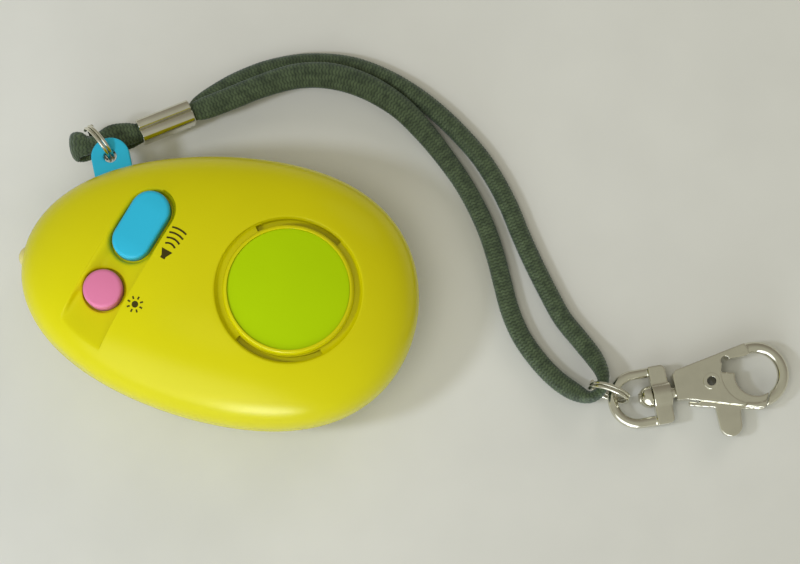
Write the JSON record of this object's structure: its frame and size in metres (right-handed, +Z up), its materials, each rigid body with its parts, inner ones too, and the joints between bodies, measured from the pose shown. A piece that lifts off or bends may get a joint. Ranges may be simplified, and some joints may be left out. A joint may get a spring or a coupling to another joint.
{
  "type": "personal safety alarm",
  "caption": "Egg-shaped personal alarm with a sounder disc, two buttons, an end lamp, a pull pin and a braided wrist strap with a swivel hook.",
  "frame": {"origin": "middle of the case's flat back, on the surface that it rests on", "axes": "+X along the case towards its broad end, +Y across it towards the pull pin, +Z up through the front with the sounder and buttons"},
  "size_m": [0.1437, 0.0753, 0.0261],
  "materials": {
    "shell_yellow": "smooth glossy moulding",
    "disc_green": "smooth glossy moulding",
    "key_blue": "smooth satin moulding",
    "key_pink": "smooth satin moulding",
    "lamp_clear": "clear, faintly yellow",
    "strap_cord": "braided cord",
    "plated_steel": "bright nickel plate",
    "screw_steel": "plain steel",
    "contact_metal": "spring brass sheet",
    "piezo_brass": "thin brass sheet",
    "ceramic_white": "fired ceramic",
    "inner_black": "moulded, plain",
    "board_green": "coated laminate",
    "plunger_tan": "moulded, plain"
  },
  "bodies": {
    "case": {"front_shell": "shell_yellow", "rear_shell": "shell_yellow", "battery_cover": "shell_yellow", "cover_screw": "screw_steel", "case_screws": "screw_steel", "green_disc": "disc_green", "piezo_plate": "piezo_brass", "piezo_ceramic": "ceramic_white", "piezo_retainer": "inner_black", "circuit_board": "board_green", "board_screws": "screw_steel", "driver_chip": "inner_black", "boost_coil": "inner_black", "alarm_switch": "inner_black", "light_switch": "inner_black", "lamp": "lamp_clear", "button_cells": "screw_steel", "cell_spring": "contact_metal", "cell_contacts": "contact_metal", "pin_contacts": "contact_metal"},
    "alarm_key": {"alarm_button": "key_blue", "alarm_plunger": "plunger_tan"},
    "light_key": {"light_button": "key_pink", "light_plunger": "plunger_tan"},
    "pin": {"pull_pin": "key_blue"},
    "strap": {"pin_ring": "plated_steel", "ring_loop": "strap_cord", "cord_crimp": "plated_steel", "wrist_loop": "strap_cord"},
    "far_ring": {"hook_ring": "plated_steel"},
    "eye": {"swivel_eye": "plated_steel"},
    "hook": {"swivel_pin": "plated_steel", "hook_body": "plated_steel", "lever_rivet": "plated_steel", "lever_spring": "screw_steel"},
    "lever": {"hook_lever": "plated_steel"}
  },
  "joints": [
    {"name": "alarm_press", "type": "slide", "parent": "case", "child": "alarm_key", "axis": [0, 0, -1], "range_m": [0, 0.0006], "stiffness_N_per_m": 1000},
    {"name": "light_press", "type": "slide", "parent": "case", "child": "light_key", "axis": [0, 0, -1], "range_m": [0, 0.0006], "stiffness_N_per_m": 1000},
    {"name": "pin_pull", "type": "slide", "parent": "case", "child": "pin", "axis": [-0.3746, 0.9272, 0], "range_m": [0, 0.016]},
    {"name": "strap_swing", "type": "hinge", "parent": "pin", "child": "strap", "pos_m": [-0.0245, 0.0214, 0.01195], "axis": [0, 0, 1], "range_deg": [-15, 40]},
    {"name": "far_ring_swing", "type": "hinge", "parent": "strap", "child": "far_ring", "pos_m": [0.07205, -0.006, 0.0042], "axis": [0, 0, 1], "range_deg": [-8, 5]},
    {"name": "eye_swing", "type": "hinge", "parent": "far_ring", "child": "eye", "pos_m": [0.07455, -0.0068, 0.00242], "axis": [0, 0, 1], "range_deg": [-25, 8]},
    {"name": "hook_swivel", "type": "hinge", "parent": "eye", "child": "hook", "pos_m": [0.0739, -0.0085, 0.00242], "axis": [0.9455, 0.3256, 0], "continuous": true},
    {"name": "lever_press", "type": "hinge", "parent": "hook", "child": "lever", "pos_m": [0.09212, -0.00138, 0.00242], "axis": [0, 0, 1], "range_deg": [0, 25], "stiffness_Nm_per_rad": 0.02}
  ]
}
